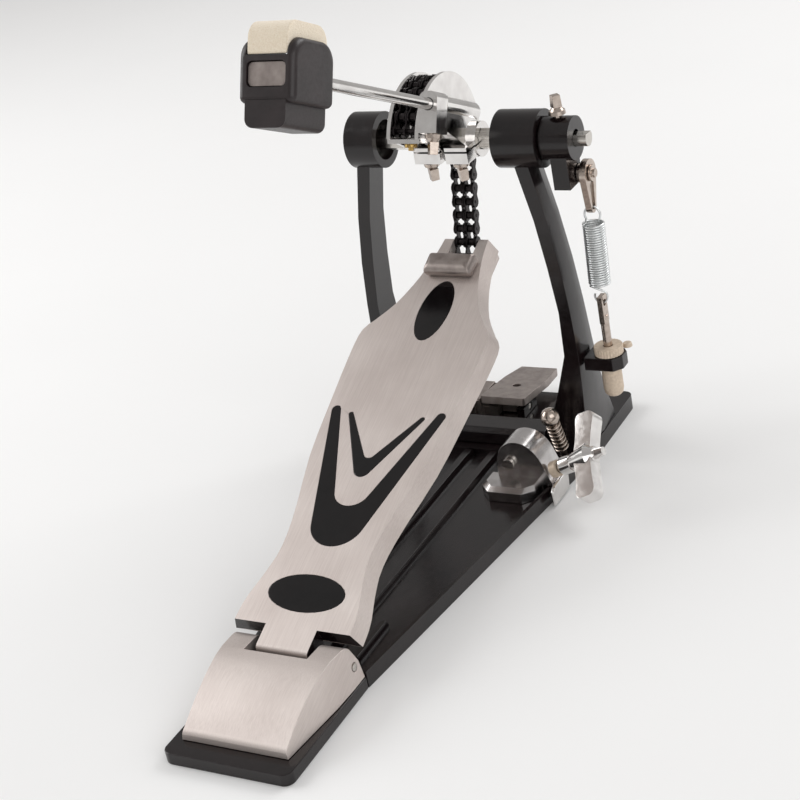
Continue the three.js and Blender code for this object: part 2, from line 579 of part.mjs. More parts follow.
// ---- Return spring: arm and eccentric pin on the rocker, link, coil, eye rod and its adjuster ----
function springParts(rocker) {
  const arm = sidePlate([[-8, -25.5], [8.5, -25.5], [8.5, -14], [-8, -14]], [64, 73]);
  const collar = bar("x", 11.4, [60.2, 76.4], { sides: 36 });
  const neck = box([64, 73], [-8, 8.5], [-20, -2]);
  const bore = bar("x", 4.6, [55, 90], { sides: 20 });
  const screwHole = bar("z", 2.4, [3, 20], { x: 68, sides: 12 });
  const { x, pinY, pinZ, anchorZ } = SPRING;
  const pinHeight = pinZ - AXLE_Z;
  const pinHole = bar("x", 2.5, [67, 78], { y: pinY, z: pinHeight, sides: 12 });
  put(rocker, "spring_arm", cut(join(collar, neck, arm), bore, screwHole, pinHole), blackPaint);
  clampScrew(rocker, "spring_arm_screw", { x: 68, y: 0, z: 9.6, turn: Math.PI });
  put(rocker, "spring_pin", join(
    bar("x", 2.2, [68, 80.6], { y: pinY, z: pinHeight, sides: 14 }),
    bar("x", 5.2, [73.4, 75.6], { y: pinY, z: pinHeight, sides: 20 }),
    bar("x", 4.4, [79.8, 81], { y: pinY, z: pinHeight, sides: 18 }),
    bar("x", 2.4, [80.8, 82.4], { y: pinY, z: pinHeight, sides: 12 }),
  ), nickel);

  // Everything below hangs in line from the pin to the eye rod.
  const lean = Math.atan2(pinY, pinZ - anchorZ);
  const hang = group(pedal, { x, y: pinY, z: pinZ, turn: -lean });
  const drop = new THREE.Shape();
  drop.absarc(0, 0, 7.4, -0.35, Math.PI + 0.35);
  drop.absarc(0, -18, 3.4, Math.PI, Math.PI * 2);
  const eye = new THREE.Path();
  eye.absarc(0, 0, 2.6, 0, Math.PI * 2, true);
  const slot = new THREE.Path();
  slot.absarc(0, -7.6, 3.2, Math.PI - 0.6, 0.6, true);
  slot.absarc(0, -18, 1.7, 0, -Math.PI, true);
  drop.holes.push(eye, slot);
  const dropPlate = sidePlate(drop, [-2, 1.4], 12);
  put(hang, "spring_link", dropPlate, nickel);

  const { top, bottom, hook } = COIL;
  const coil = helix(COIL.r, COIL.wire, COIL.turns, top - bottom, hook).translate(0, 0, bottom);
  put(hang, "return_spring", coil, steel);

  const rod = bar("z", EYE_ROD.r, [EYE_ROD.bottom, EYE_ROD.top], { sides: 14 });
  const rodEye = bar("x", 1.9, [-5, 5], { z: EYE_ROD.eye, sides: 12 });
  const flatHead = cut(box([-1.5, 1.5], [-3.3, 3.3], [EYE_ROD.top - 4, EYE_ROD.eye + 3.9]), rodEye);
  put(pedal, "eye_rod", join(rod, flatHead).translate(x, 0, 0), nickel);
  const knurl = new THREE.Shape();
  const teeth = 30;
  for (let i = 0; i < teeth * 2; i += 1) {
    const angle = (i / teeth) * Math.PI;
    const reach = i % 2 === 0 ? NUT.r : NUT.r - 0.35;
    knurl[i === 0 ? "moveTo" : "lineTo"](reach * Math.cos(angle), reach * Math.sin(angle));
  }
  const nut = floorPlate(knurl, [NUT.z, NUT.z + NUT.h]);
  put(pedal, "adjuster_nut", cut(nut, bar("z", 2.7, [50, 90], { sides: 16 })).translate(x, 0, 0), tanMetal);

  const bracketTop = NUT.z - GAP;
  const outline = new THREE.Shape();
  outline.moveTo(66, -7.6);
  outline.lineTo(82.4, -7.6);
  outline.lineTo(86.6, -3);
  outline.lineTo(86.6, 4);
  outline.absarc(78, 0, 9.2, 0.5, Math.PI / 2);
  outline.lineTo(66, 9.2);
  const bracketFoot = bracketTop - 7.4;
  const bracket = floorPlate(outline, [bracketFoot, bracketTop], 5);
  put(pedal, "adjuster_bracket", cut(bracket, bar("z", 2.8, [40, 90], { x, sides: 16 })), blackPaint);
  const tubeTop = bracketFoot - GAP;
  const sleeve = new THREE.LatheGeometry([
    [0, 0], [3.6, 0], [5, 1.4], [5.5, 4], [5.5, 17], [0, 17],
  ].map(([r, z]) => new THREE.Vector2(r, z)), 22).rotateX(Math.PI / 2).translate(x, 0, tubeTop - 17);
  put(pedal, "adjuster_tube", cut(sleeve, bar("z", 2.8, [tubeTop - 14, 90], { x, sides: 16 })), tanMetal);
  const headSpan = [bracketTop + GAP, bracketTop + 2.6];
  put(pedal, "bracket_screw", bar("z", 2.8, headSpan, { x: 85.4, y: 8.6, sides: 14, endR: 2.3 }), tanMetal);
}

// ---- Hoop clamp: rocking jaw on a pin between two cheeks ----
function jawParts() {
  const jaw = group(pedal, { y: JAW_PIN.y, z: JAW_PIN.z });
  const slope = -Math.atan2(7.9, 53);
  const plan = new THREE.Shape();
  plan.moveTo(-13, -14.4);
  plan.lineTo(13, -14.4);
  plan.lineTo(14, -13.4);
  plan.lineTo(14, 20);
  plan.lineTo(11.6, 39.4);
  plan.lineTo(-11.6, 39.4);
  plan.lineTo(-14, 20);
  plan.lineTo(-14, -13.4);
  const slotHole = new THREE.Path();
  slotHole.absarc(0, 7, 2.6, 0, Math.PI * 2, true);
  plan.holes.push(slotHole);
  const plate = floorPlate(plan, [5, 9.6], 5).rotateX(slope);
  const lug = box([-5.6, 5.6], [-3.4, 3.4], [-3, 7]);
  const pinHole = bar("x", 2.3, [-20, 20], { sides: 14 });
  put(jaw, "clamp_jaw", cut(join(plate, lug), pinHole), gunmetal);

  const ribs = [];
  for (let i = 0; i < 5; i += 1) {
    ribs.push(box([-28 + i * 2.8, -26.6 + i * 2.8], [14.6, 17], [PLATE_TOP + GAP, 21.5]));
  }
  const tall = box([-28.4, -14.8], [16, 38], [PLATE_TOP + GAP, 22]);
  const low = box([-15, -6.2], [19, 37], [PLATE_TOP + GAP, 15.4]);
  const hole = bar("x", 2.3, [-12, 20], { y: JAW_PIN.y, z: JAW_PIN.z, sides: 14 });
  put(pedal, "clamp_block", cut(join(tall, low, ...ribs), hole), gunmetal);
  put(pedal, "clamp_cheek", cut(box([6.2, 11], [19, 37], [PLATE_TOP + GAP, 15.4]), hole), blackPaint);
  put(pedal, "jaw_pin", bar("x", 2, [-11.7, 10.6], { y: JAW_PIN.y, z: JAW_PIN.z, sides: 14 }), steel);
}

// ---- Side lever that works the jaw: chrome housing, rivet, edge plate, bushing and wing bolt ----
function leverParts() {
  const profile = new THREE.Shape();
  profile.moveTo(22.5, PLATE_FLOOR + GAP);
  profile.lineTo(51.6, PLATE_FLOOR + GAP);
  profile.lineTo(51.6, PLATE_TOP + GAP);
  profile.lineTo(57.6, PLATE_TOP + GAP);
  profile.lineTo(53.2, 21);
  profile.quadraticCurveTo(50.5, 30, 43.5, 33.4);
  profile.quadraticCurveTo(35, 36.4, 29.5, 30.5);
  profile.quadraticCurveTo(25.6, 25, 25.6, 14);
  const housing = frontPlate(profile, [-50, -33], 7);
  const hollow = new THREE.Shape();
  hollow.moveTo(29, 12.5);
  hollow.lineTo(52.4, 12.5);
  hollow.lineTo(49.4, 20.4);
  hollow.quadraticCurveTo(47, 27, 42, 29.6);
  hollow.quadraticCurveTo(36, 32, 32, 27);
  const bay = frontPlate(hollow, [-47.4, -30], 6);
  // The foot, from its base up: height, heel-side end, left end, right end, corner cut.
  const footLevels = [
    [PLATE_FLOOR + GAP, -65, 19.5, 51, 6],
    [11.5, -65, 19.5, 51, 6],
    [13.6, -62, 21.5, 50, 5],
  ];
  const footRings = footLevels.map(([z, near, left, right, corner]) => {
    const leftSide = [[left, -48], [left, near + corner], [left + corner, near]];
    const rightSide = [[right - corner, near], [right, near + corner], [right, -48]];
    return [...leftSide, ...rightSide].map(([x, y]) => new THREE.Vector3(x, y, z));
  });
  const footPad = loft(footRings);
  const rivetHole = bar("y", 3, [-60, -20], { x: 33.6, z: 21.6, sides: 16 });
  put(pedal, "lever_housing", cut(join(housing, footPad), bay, rivetHole), chrome);
  put(pedal, "lever_rivet", join(
    bar("y", 2.7, [-51.4, -31.6], { x: 33.6, z: 21.6, sides: 16 }),
    bar("y", 3.4, [-52.6, -50.3], { x: 33.6, z: 21.6, sides: 16 }),
  ), steel);
  const edge = [[-57, 1.2], [-37, 1.2], [-36, 10], [-40, 12.4], [-54, 12.4], [-58, 10]];
  put(pedal, "lever_edge_plate", sidePlate(edge, [58.9, 61]), nickel);

  // The wing bolt's own frame: +X runs out along the bolt, tilted up from the base.
  const bolt = new THREE.Group();
  bolt.position.set(WING.x, WING.y, WING.z);
  bolt.rotation.y = -WING.rise;
  pedal.add(bolt);
  const seat = cut(bar("x", 4.6, [1.6, 6], { sides: 24 }), bar("x", 3, [0, 20], { sides: 16 }));
  put(bolt, "lever_bushing", seat, brass);
  const shank = bar("x", 2.6, [2.4, 24], { sides: 14 });
  const collar = bar("x", 5, [8.6, 15], { sides: 24 });
  const hub = bar("x", 4.4, [14.5, 27], { sides: 24, endR: 7.4 });
  const nose = bar("x", 7.4, [27, 31], { sides: 24, endR: 4 });
  const wings = [1, -1].map((side) => {
    const wing = new THREE.Shape();
    const { root, tip, reach } = WING;
    wing.moveTo(root, side * 3);
    wing.quadraticCurveTo(root + 2, side * 12, root + 1.4, side * (reach - 4));
    wing.quadraticCurveTo(root + 1.6, side * reach, root + 4.6, side * reach);
    wing.lineTo(tip - 3.6, side * reach);
    wing.quadraticCurveTo(tip, side * (reach - 0.6), tip - 0.4, side * (reach - 5));
    wing.quadraticCurveTo(tip - 2.2, side * 11, tip - 2.4, side * 3);
    return frontPlate(wing, [-4.2, 4.2], 6);
  });
  const end = bar("x", 3, [30, 36], { sides: 16, endR: 2.4 });
  put(bolt, "wing_bolt", join(shank, collar, hub, nose, ...wings, end).rotateX(-WING_TURNED), chrome);
}

// ---- Sprung spur screws, one each side of the base ----
function spurParts() {
  [["right", 1], ["left", -1]].forEach(([name, side]) => {
    const spur = group(pedal, { x: side * SPUR.x, y: SPUR.y, z: PLATE_TOP, turn: SPUR.lean });
    const { shaft, ball, length } = SPUR;
    const point = bar("z", 0.4, [-8, -4.4], { sides: 14, endR: shaft });
    const stem = bar("z", shaft, [-4.5, length], { sides: 14 });
    const knob = new THREE.SphereGeometry(ball, 14, 8).rotateX(Math.PI / 2).translate(0, 0, length + 2.6);
    put(spur, `spur_screw_${name}`, join(point, stem, knob), nickel);
    const coil = helix(3.7, 0.65, 5, length - 7.6).translate(0, 0, 3.6);
    put(spur, `spur_spring_${name}`, coil, steel);
  });
}

baseParts();
heelPlateParts();
footboardParts();
frameParts();
const rocker = group(pedal, { z: AXLE_Z });
const holderFrame = rockerParts(rocker);
beaterParts(holderFrame);
chainParts(rocker);
springParts(rocker);
jawParts();
leverParts();
spurParts();

export default pedal;
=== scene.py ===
import json
import math

import bmesh
import bpy
from mathutils import Matrix, Vector


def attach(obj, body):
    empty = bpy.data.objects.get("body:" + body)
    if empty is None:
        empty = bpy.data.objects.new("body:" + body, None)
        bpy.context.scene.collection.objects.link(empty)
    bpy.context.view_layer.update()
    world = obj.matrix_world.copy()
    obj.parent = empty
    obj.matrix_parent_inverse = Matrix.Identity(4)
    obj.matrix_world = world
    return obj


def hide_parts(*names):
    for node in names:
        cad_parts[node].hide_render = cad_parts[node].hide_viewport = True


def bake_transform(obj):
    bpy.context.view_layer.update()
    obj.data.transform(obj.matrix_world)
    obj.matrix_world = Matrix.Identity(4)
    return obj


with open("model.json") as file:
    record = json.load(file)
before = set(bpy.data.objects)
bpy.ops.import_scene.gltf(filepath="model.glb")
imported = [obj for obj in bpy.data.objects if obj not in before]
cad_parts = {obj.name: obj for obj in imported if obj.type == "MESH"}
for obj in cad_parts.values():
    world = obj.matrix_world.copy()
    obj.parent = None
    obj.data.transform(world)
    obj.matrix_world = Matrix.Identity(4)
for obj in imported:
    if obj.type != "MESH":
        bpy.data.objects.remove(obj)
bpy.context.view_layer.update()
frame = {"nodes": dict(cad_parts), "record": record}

MM = 0.001

# Base plate, heel slab, uprights, cross member and the small black castings: grey iron, sand cast and
# ground, then dipped in thick black enamel. The uprights and cross member are screwed to the plate,
# and the cheek, spring arm and spring bracket are clamped on after coating.


def linear(hex_colour):
    channels = [int(hex_colour[i:i + 2], 16) / 255 for i in (0, 2, 4)]
    return [c / 12.92 if c <= 0.04045 else ((c + 0.055) / 1.055) ** 2.4 for c in channels] + [1]


def add(tree, kind, inputs, out=0, **settings):
    node = tree.nodes.new(kind)
    for name, value in settings.items():
        setattr(node, name, value)
    for name, value in inputs.items():
        if isinstance(value, bpy.types.NodeSocket):
            tree.links.new(value, node.inputs[name])
        else:
            node.inputs[name].default_value = value
    return node.outputs[out] if node.outputs else None


def new_finish(name):
    material = bpy.data.materials.new(name)
    material.use_nodes = True
    material.node_tree.nodes.clear()
    return material, material.node_tree


# Enamel over iron looks wet and almost black. A faint orange peel, about 1 mm across, and the lumps of
# the casting below it, about 9 mm, break up the reflections.
black_enamel, tree = new_finish("black_enamel_on_cast_iron")
place = add(tree, "ShaderNodeTexCoord", {}, out="Object")
casting = add(tree, "ShaderNodeTexNoise", {"Vector": place, "Scale": 1 / (9 * MM), "Detail": 3})
lumps = add(tree, "ShaderNodeBump", {"Height": casting, "Distance": 0.12 * MM, "Strength": 0.3})
orange_peel = add(tree, "ShaderNodeTexNoise", {"Vector": place, "Scale": 1 / (1.1 * MM), "Detail": 3})
wet_skin = add(tree, "ShaderNodeBump",
               {"Height": orange_peel, "Distance": 0.03 * MM, "Strength": 0.5, "Normal": lumps})
patches = add(tree, "ShaderNodeTexNoise", {"Vector": place, "Scale": 1 / (22 * MM), "Detail": 5})
depth = add(tree, "ShaderNodeMapRange", {"Value": patches, "From Min": 0.3, "From Max": 0.7})
black = add(tree, "ShaderNodeMix", {0: depth, 6: linear("0e090a"), 7: linear("1a1213")}, out=2,
            data_type="RGBA")
haze = add(tree, "ShaderNodeTexNoise", {"Vector": place, "Scale": 1 / (3.5 * MM), "Detail": 3})
gloss = add(tree, "ShaderNodeMapRange",
            {"Value": haze, "From Min": 0.3, "From Max": 0.7, "To Min": 0.15, "To Max": 0.26})
enamel = add(tree, "ShaderNodeBsdfPrincipled",
             {"Base Color": black, "Roughness": gloss, "IOR": 1.5, "Normal": wet_skin})
add(tree, "ShaderNodeOutputMaterial", {"Surface": enamel})

bodies = frame["record"]["behaviour"]["bodies"]
body_of_node = {node: body for body, nodes in bodies.items() for node in nodes}


def show(node, mesh, skin, crease=32, rides=True):
    for face in mesh.polygons:
        face.use_smooth = True
    mesh.set_sharp_from_angle(angle=math.radians(crease))
    mesh.materials.append(skin)
    piece = bpy.data.objects.new(node + "_shown", mesh)
    bpy.context.scene.collection.objects.link(piece)
    if rides:
        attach(piece, body_of_node[node])
    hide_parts(node)
    return piece


# The solid from the CAD gets its rounded edges here. edge_mm rounds every edge sharper than the crease,
# and flank_mm first rounds the rims of the two end faces along X.
def dress(node, skin, edge_mm, steps=2, flank_mm=0, crease=32):
    weld, flat, near = 2e-6, math.radians(0.6), 1e-5
    solid = bmesh.new()
    solid.from_mesh(frame["nodes"][node].data)
    bmesh.ops.remove_doubles(solid, verts=solid.verts, dist=weld)
    bmesh.ops.dissolve_limit(solid, angle_limit=flat, verts=solid.verts, edges=solid.edges)
    if flank_mm > 0:
        flanks = [pick(v.co.x for v in solid.verts) for pick in (min, max)]
        rims = [e for e in solid.edges if min(abs(e.verts[0].co.x - x) for x in flanks) < near
                and abs(e.verts[0].co.x - e.verts[1].co.x) < near]
        bmesh.ops.bevel(solid, geom=rims, offset=flank_mm * MM, segments=4, profile=0.5,
                        affect="EDGES", clamp_overlap=True)
    sharp = [e for e in solid.edges
             if len(e.link_faces) == 2 and e.calc_face_angle(0) > math.radians(crease)]
    bmesh.ops.bevel(solid, geom=sharp, offset=edge_mm * MM, segments=steps, profile=0.5,
                    affect="EDGES", clamp_overlap=True)
    bmesh.ops.triangulate(solid, faces=[f for f in solid.faces if len(f.verts) > 4])
    mesh = bpy.data.meshes.new(node + "_skin")
    solid.to_mesh(mesh)
    solid.free()
    piece = show(node, mesh, skin, crease)
    even = piece.modifiers.new("even_normals", "WEIGHTED_NORMAL")
    even.keep_sharp = True
    even.weight = 90
    return piece


for node in ("heel_base", "base_plate", "upright_left", "upright_right", "cross_member", "spring_arm",
             "adjuster_bracket", "clamp_cheek"):
    dress(node, black_enamel, edge_mm=0.6)

# Footboard and domed heel plate: sand-cast aluminium, milled flat, brushed along their length on a belt
# and clear coated. The board's tab turns on the hinge pin under the heel plate.
board_tilt = math.radians(22.4)
HINGE_Y, HINGE_Z = -229, 15
hinge = Vector((0, HINGE_Y, HINGE_Z)) * MM

# Brushed aluminium is pale, slightly pink under warm light, with a soft streaked sheen along the board.
# Real belt lines are about 0.1 mm wide; these are 0.3 and 0.4 mm, so that they show.
brushed_aluminium, tree = new_finish("belt_brushed_aluminium")
place = add(tree, "ShaderNodeTexCoord", {}, out="Object")
along_board = add(tree, "ShaderNodeMapping", {"Vector": place, "Rotation": (-board_tilt, 0, 0)})
streaked = add(tree, "ShaderNodeMapping", {"Vector": along_board, "Scale": (3, 0.05, 3)})
belt_lines = add(tree, "ShaderNodeTexNoise", {"Vector": streaked, "Scale": 1 / MM, "Detail": 4})
streaked_fine = add(tree, "ShaderNodeMapping", {"Vector": along_board, "Scale": (1, 0.04, 1)})
fine_lines = add(tree, "ShaderNodeTexNoise", {"Vector": streaked_fine, "Scale": 1 / (0.4 * MM), "Detail": 2})
cloud = add(tree, "ShaderNodeTexNoise", {"Vector": place, "Scale": 1 / (38 * MM), "Detail": 4})
line_tone = add(tree, "ShaderNodeMapRange",
                {"Value": belt_lines, "From Min": 0.3, "From Max": 0.7, "To Max": 0.4})
cloud_tone = add(tree, "ShaderNodeMapRange",
                 {"Value": cloud, "From Min": 0.3, "From Max": 0.7, "To Max": 0.5})
shade = add(tree, "ShaderNodeMath", {0: line_tone, 1: cloud_tone}, operation="ADD")
silver = add(tree, "ShaderNodeMix", {0: shade, 6: linear("c6bbb6"), 7: linear("e2d9d4")}, out=2,
             data_type="RGBA")
sheen = add(tree, "ShaderNodeMapRange",
            {"Value": fine_lines, "From Min": 0.3, "From Max": 0.7, "To Min": 0.46, "To Max": 0.58})
grooves = add(tree, "ShaderNodeBump", {"Height": belt_lines, "Distance": 0.005 * MM, "Strength": 0.22})
brushing = add(tree, "ShaderNodeBump",
               {"Height": fine_lines, "Distance": 0.006 * MM, "Strength": 0.35, "Normal": grooves})
aluminium = add(tree, "ShaderNodeBsdfPrincipled",
                {"Base Color": silver, "Metallic": 0.85, "Roughness": sheen, "Normal": brushing})
add(tree, "ShaderNodeOutputMaterial", {"Surface": aluminium})
board = dress("footboard", brushed_aluminium, edge_mm=0.6)
dress("heel_plate", brushed_aluminium, edge_mm=1.8, steps=3)

# The board's heel end and the flanks of its tab: the same casting, not brushed. The base's black enamel on
# them is painted shade, the dark of the wedge-shaped gap between the board and the heel plate.
TAB_HALF = 14.5 * MM
SHOULDER_DEPTH = 12 * MM
FLANK_DEPTH = 8.5 * MM
board.data.materials.append(black_enamel)
heelward = Vector((0, -math.cos(board_tilt), -math.sin(board_tilt)))
for face in board.data.polygons:
    from_hinge = (face.center - hinge).dot(-heelward)
    across = abs(face.center.x)
    shaded_shoulder = across > TAB_HALF and face.normal.dot(heelward) > 0.7 and from_hinge < SHOULDER_DEPTH
    shaded_flank = abs(face.normal.x) > 0.9 and across < TAB_HALF + 0.1 * MM and from_hinge < FLANK_DEPTH
    # Faces inside the gap take the black enamel as painted shade.
    if shaded_shoulder or shaded_flank:
        face.material_index = 1


# Inlays: two oval and two V-shaped pads, moulded in ABS and glued into shallow pockets in the board.
# Like the plated and moulded pieces below, they have a slight shift of colour, of gloss and of relief,
# each with its own size.
def worked_finish(name, colours, patch_mm, haze_mm, roughness, bump_mm, depth_mm, strength, detail=3,
                  **surface):
    material, tree = new_finish(name)
    place = add(tree, "ShaderNodeTexCoord", {}, out="Object")
    patches = add(tree, "ShaderNodeTexNoise",
                  {"Vector": place, "Scale": 1 / (patch_mm * MM), "Detail": detail})
    tone = add(tree, "ShaderNodeMapRange", {"Value": patches, "From Min": 0.3, "From Max": 0.7})
    colour = add(tree, "ShaderNodeMix", {0: tone, 6: linear(colours[0]), 7: linear(colours[1])}, out=2,
                 data_type="RGBA")
    haze = add(tree, "ShaderNodeTexNoise", {"Vector": place, "Scale": 1 / (haze_mm * MM), "Detail": 3})
    gloss = add(tree, "ShaderNodeMapRange", {"Value": haze, "From Min": 0.3, "From Max": 0.7,
                                             "To Min": roughness[0], "To Max": roughness[1]})
    height = add(tree, "ShaderNodeTexNoise", {"Vector": place, "Scale": 1 / (bump_mm * MM), "Detail": 3})
    relief = add(tree, "ShaderNodeBump",
                 {"Height": height, "Distance": depth_mm * MM, "Strength": strength})
    shader = add(tree, "ShaderNodeBsdfPrincipled",
                 {"Base Color": colour, "Roughness": gloss, "Normal": relief, **surface})
    add(tree, "ShaderNodeOutputMaterial", {"Surface": shader})
    return material


# Moulded gloss ABS is a deep, even black with sharp highlights.
gloss_inlay = worked_finish("gloss_black_abs", ("070506", "0f0b0c"), patch_mm=12, haze_mm=4,
                            roughness=(0.1, 0.16), bump_mm=6, depth_mm=0.01, strength=0.2, IOR=1.45)
for node in ("inlay_oval_toe", "inlay_oval_heel", "inlay_v_large", "inlay_v_small"):
    dress(node, gloss_inlay, edge_mm=0.12)

# Toe stop, hoop jaw, its block and the beater's badge: zinc die castings plated dark grey. The stop is
# screwed over the board's toe, and the jaw rocks on a pin.

# Dark plate over a casting looks satin and warm grey, with a fine cast texture.
gunmetal = worked_finish("dark_plated_zinc_casting", ("928884", "aaa09b"), patch_mm=5, haze_mm=1.2,
                         roughness=(0.36, 0.5), bump_mm=0.7, depth_mm=0.03, strength=0.4, Metallic=0.9)
for node, edge_mm in (("toe_stop", 1.2), ("clamp_jaw", 0.7), ("clamp_block", 0.4), ("beater_badge", 0.2)):
    dress(node, gunmetal, edge_mm)

# Chain cam, beater holder, beater rod, edge plate and wing bolt: zinc castings and turned steel,
# polished, then plated with copper, nickel and chrome.

# Bright chrome mirrors the room. A slow ripple, 6 mm across, left by polishing by hand, bends it.
chrome = worked_finish("bright_chrome_plate", ("d6d3d1", "e8e6e4"), patch_mm=8, haze_mm=3,
                       roughness=(0.08, 0.16), bump_mm=6, depth_mm=0.06, strength=0.3, Metallic=1.0)
dress("chain_cam", chrome, edge_mm=0.3)
for node in ("beater_holder", "beater_rod", "lever_edge_plate"):
    dress(node, chrome, edge_mm=0.9)
dress("wing_bolt", chrome, edge_mm=1.2, steps=3)

# Lever housing: the zinc casting that guides the wing bolt to the clamp. It is tumbled smooth and
# chromed, and riveted to the base's edge.

# Chrome over a tumbled casting is softer and greyer than the turned parts, with blurred reflections.
tumbled_chrome = worked_finish("chromed_tumbled_zinc_casting", ("b9b5b4", "cfcccb"), patch_mm=7, detail=5,
                               haze_mm=9, roughness=(0.2, 0.28), bump_mm=4, depth_mm=0.008, strength=0.3,
                               Metallic=1.0)
dress("lever_housing", tumbled_chrome, edge_mm=1.3, steps=3)

# Screws, spring pin and drop link, eye rod and spur screws: turned and stamped steel, nickel plated in a
# barrel. The screws lock the cam, the holder and the arm to the shaft.

# Barrel nickel is yellower than chrome, a little dull, and finely scuffed.
nickel = worked_finish("nickel_plated_steel", ("b3a59b", "c9bdb3"), patch_mm=2.5, haze_mm=1.5,
                       roughness=(0.18, 0.27), bump_mm=2, depth_mm=0.02, strength=0.3, Metallic=1.0)
for node in ("cam_clamp_screw", "beater_set_screw", "holder_clamp_screw", "spring_arm_screw", "spring_pin",
             "spring_link", "eye_rod", "spur_screw_right", "spur_screw_left"):
    dress(node, nickel, edge_mm=0.25)

# Rocker shaft, its end screw, pins, rivet and bearing rings: bright steel, drawn or ground to size and
# pressed into the castings.

# Drawn steel shows faint lines along its length. They are 0.8 mm apart here, coarser than real ones, so
# that they show.
drawn_steel, tree = new_finish("drawn_bright_steel")
place = add(tree, "ShaderNodeTexCoord", {}, out="Object")
lengthwise = add(tree, "ShaderNodeMapping", {"Vector": place, "Scale": (0.05, 1, 1)})
draw_lines = add(tree, "ShaderNodeTexNoise", {"Vector": lengthwise, "Scale": 1 / (0.8 * MM), "Detail": 3})
tone = add(tree, "ShaderNodeMapRange", {"Value": draw_lines, "From Min": 0.3, "From Max": 0.7})
grey = add(tree, "ShaderNodeMix", {0: tone, 6: linear("bdb8b2"), 7: linear("d8d4ce")}, out=2,
           data_type="RGBA")
gloss = add(tree, "ShaderNodeMapRange",
            {"Value": draw_lines, "From Min": 0.3, "From Max": 0.7, "To Min": 0.15, "To Max": 0.28})
scores = add(tree, "ShaderNodeBump", {"Height": draw_lines, "Distance": 0.01 * MM, "Strength": 0.4})
steel = add(tree, "ShaderNodeBsdfPrincipled",
            {"Base Color": grey, "Metallic": 1.0, "Roughness": gloss, "Normal": scores})
add(tree, "ShaderNodeOutputMaterial", {"Surface": steel})
for node in ("hinge_pin", "bearing_left", "bearing_right", "rocker_shaft", "shaft_end_screw", "jaw_pin",
             "lever_rivet"):
    dress(node, drawn_steel, edge_mm=0.3)

# Tension nut, tube and bracket screw of the return spring, and the lever's bushing: machined steel,
# zinc plated and passivated.

# The passivate turns zinc a dull tan, close to a matt paint.
tan_zinc = worked_finish("tan_passivated_zinc", ("c9b7a3", "dccbb7"), patch_mm=1.5, haze_mm=1.2,
                         roughness=(0.4, 0.55), bump_mm=0.9, depth_mm=0.04, strength=0.5, Metallic=0.25)
for node in ("adjuster_nut", "adjuster_tube", "bracket_screw", "lever_bushing"):
    dress(node, tan_zinc, edge_mm=0.3)

# Chain anchor screw: turned from free-cutting brass and left bare. It passes through the cam and holds
# the chain's last link, where the wrapped run ends.

# Bare brass is warm yellow, darkened a little by handling.
brass = worked_finish("turned_brass", ("9a7a45", "c3a466"), patch_mm=2, haze_mm=1, roughness=(0.2, 0.34),
                      bump_mm=0.6, depth_mm=0.02, strength=0.3, Metallic=1.0)
dress("chain_anchor_screw", brass, edge_mm=0.3)

# Beater head: one block of hard black plastic, moulded on the end of the rod, with the felt set in one
# side and the badge in the other. Its two flanks are well rounded.

# A spark-eroded mould leaves an even, soft gloss. Its real grain is finer than the 0.5 mm shown here.
moulded_block = worked_finish("spark_textured_hard_plastic", ("1f1819", "2b2223"), patch_mm=14, detail=5,
                              haze_mm=1.5, roughness=(0.34, 0.46), bump_mm=0.5, depth_mm=0.05, strength=0.5,
                              IOR=1.5)
dress("beater_head", moulded_block, edge_mm=1.0, steps=3, flank_mm=4)

# Beater felt: a block of wool felt, pressed hard, cut to the head's pocket and glued in. It is the soft
# face that meets the drum.

# Pressed wool is cream and matt, with short fibres that catch light at the edges. The fibres are drawn
# 0.7 mm coarse, so that they show.
wool_felt, tree = new_finish("pressed_wool_felt")
place = add(tree, "ShaderNodeTexCoord", {}, out="Object")
fibres = add(tree, "ShaderNodeTexNoise", {"Vector": place, "Scale": 1 / (0.7 * MM), "Detail": 6})
tone = add(tree, "ShaderNodeMapRange", {"Value": fibres, "From Min": 0.3, "From Max": 0.7})
cream = add(tree, "ShaderNodeMix", {0: tone, 6: linear("e6d6bd"), 7: linear("f2e6d2")}, out=2,
            data_type="RGBA")
fuzz = add(tree, "ShaderNodeBump", {"Height": fibres, "Distance": 0.4 * MM, "Strength": 0.9})
wool = add(tree, "ShaderNodeBsdfPrincipled", {"Base Color": cream, "Roughness": 0.95, "Sheen Weight": 0.4,
                                              "Sheen Roughness": 0.6, "Normal": fuzz})
add(tree, "ShaderNodeOutputMaterial", {"Surface": wool})
felt = dress("beater_felt", wool_felt, edge_mm=1.5, steps=3)

# Chain: duplex roller chain, stamped and blued plates with steel rollers on riveted pins. It is wrapped
# on the cam, five links peel off as the board goes down, and the rest runs to the toe. The real rollers
# are brighter than the plates; here both have the blued finish.
PITCH = 7.4
PLATE_END_R = 3.2
PLATE_WAIST = 1.7
OUTER_PLATES = ((-6.6, -5.8), (-0.4, 0.4), (5.8, 6.6))
INNER_PLATES = ((-5.5, -4.8), (-1.4, -0.7), (0.7, 1.4), (4.8, 5.5))
PIN_R = 1.15
PIN_HALF = 6.9
ROLLER_R = 2.15
ROLLER_STARTS = (-4.7, 1.5)
ROLLER_LONG = 3.2
CHAMFER = 0.3

# Blued steel is black with a brown cast and an uneven, oily gloss.
blued_steel = worked_finish("blued_chain_plate", ("1b1819", "383334"), patch_mm=3, haze_mm=1.2,
                            roughness=(0.24, 0.42), bump_mm=0.8, depth_mm=0.02, strength=0.4, Metallic=0.9)


